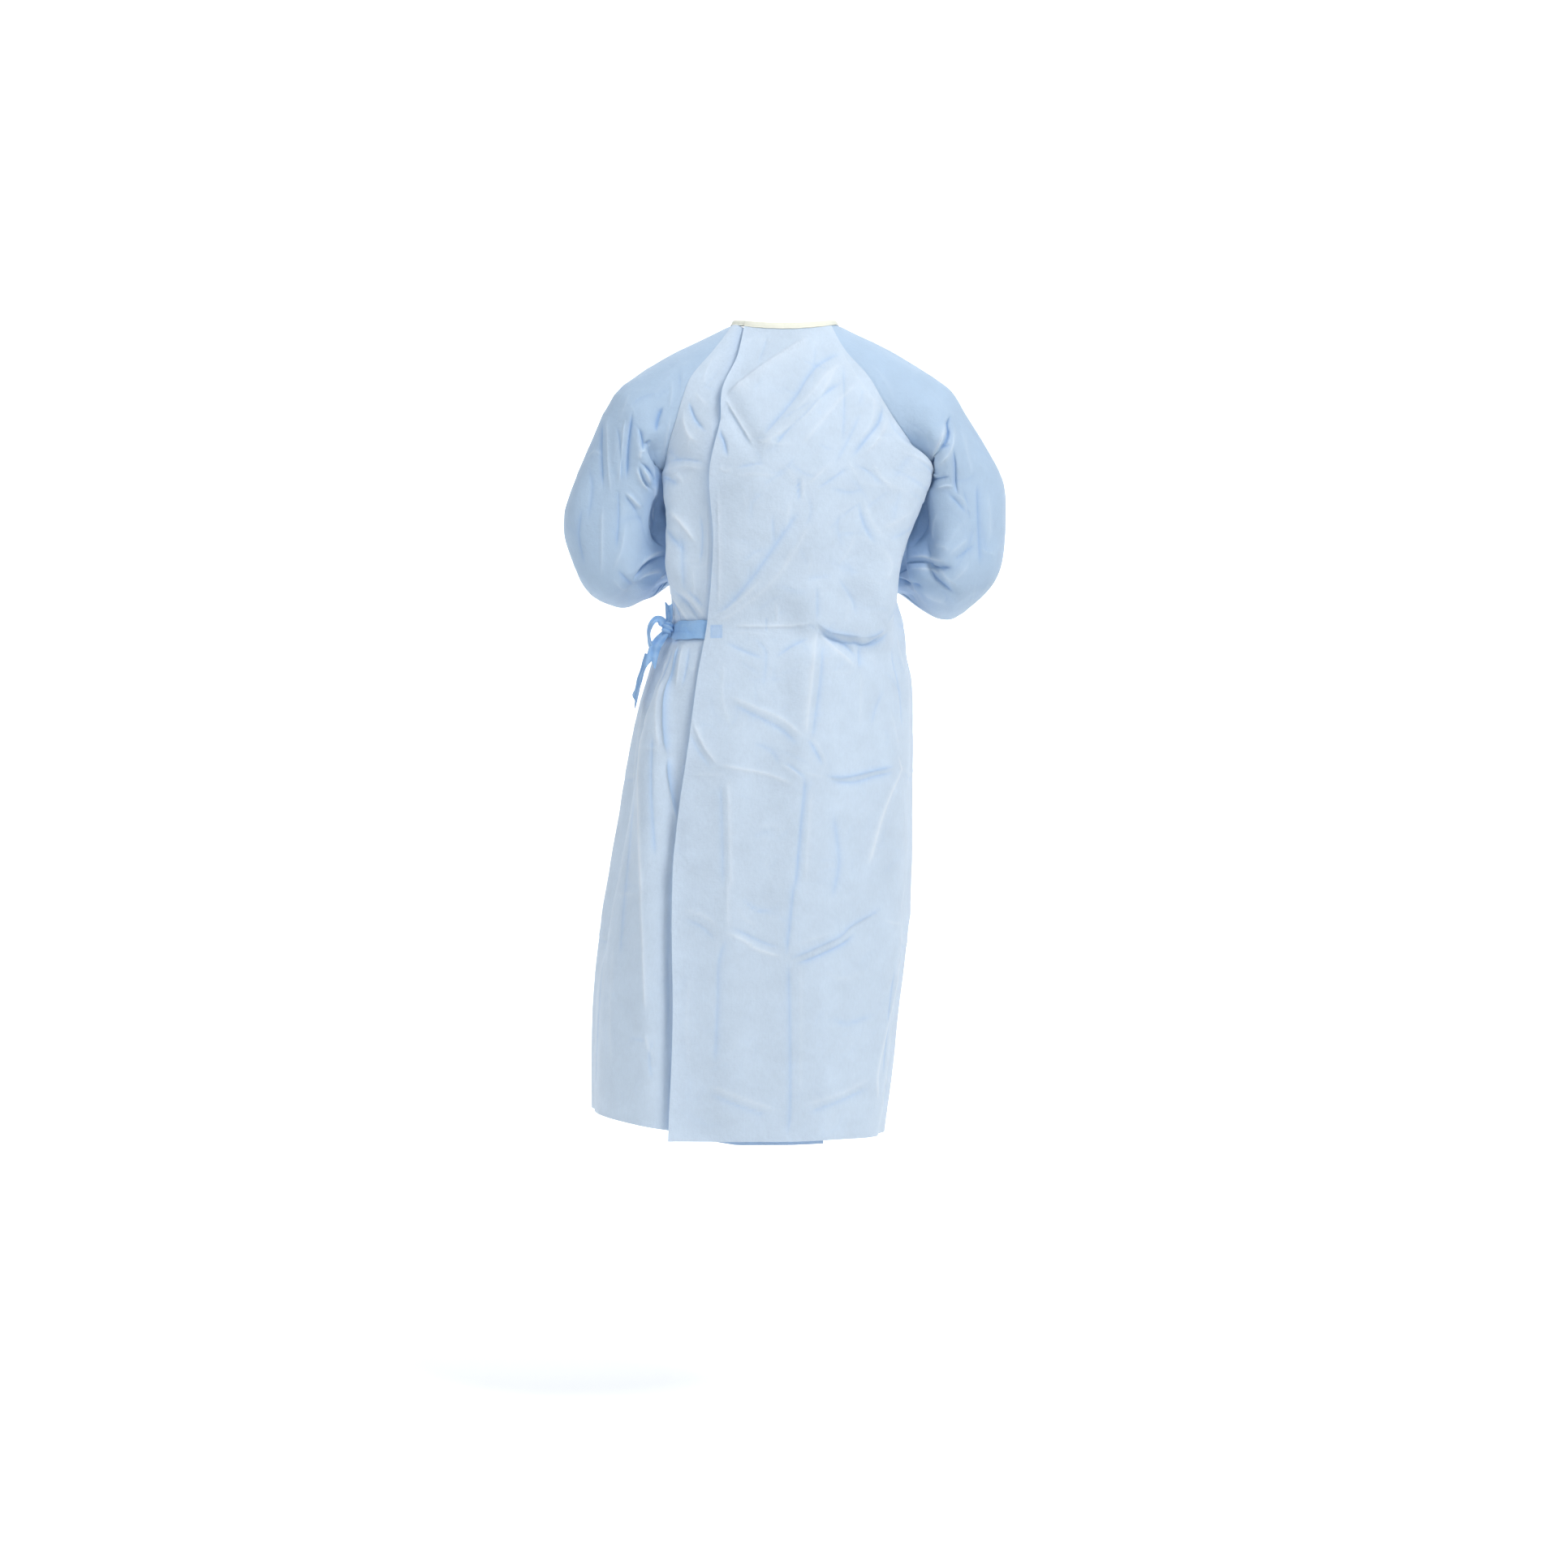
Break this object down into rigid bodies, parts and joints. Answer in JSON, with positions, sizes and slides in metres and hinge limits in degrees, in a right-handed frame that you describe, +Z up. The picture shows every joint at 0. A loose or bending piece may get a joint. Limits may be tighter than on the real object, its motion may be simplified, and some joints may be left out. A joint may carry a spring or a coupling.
{
  "type": "surgical gown",
  "caption": "Long-sleeved wraparound gown of light blue nonwoven cloth with raglan sleeves, knitted cuffs, a bound round neck and a waist tie knotted at the side.",
  "frame": {"origin": "middle of the neck, level with the shoulders at the foot of the neck, where the wearer carries the gown", "axes": "+Z up along the standing wearer; -Y towards the gown's back, where it wraps over; +X towards the wearer's right"},
  "size_m": [0.6435, 0.4284, 1.1833],
  "materials": {
    "body": "light blue nonwoven, matt with a faint sheen",
    "sleeve": "blue laminated nonwoven, matt",
    "tie": "darker blue nonwoven, matt",
    "binding": "cream folded binding, matt",
    "cuff": "white rib knit"
  },
  "bodies": {
    "root": {"front_panel": "body", "back_panel_outer": "body", "back_panel_inner": "body", "sleeve_left": "sleeve", "sleeve_right": "sleeve", "cuff_left": "cuff", "cuff_right": "cuff", "neck_binding": "binding", "tie_back": "tie", "tie_front": "tie", "tie_knot": "tie", "tie_stub": "tie", "tie_loop": "tie", "tie_end_short": "tie", "tie_end_long": "tie"}
  },
  "joints": []
}
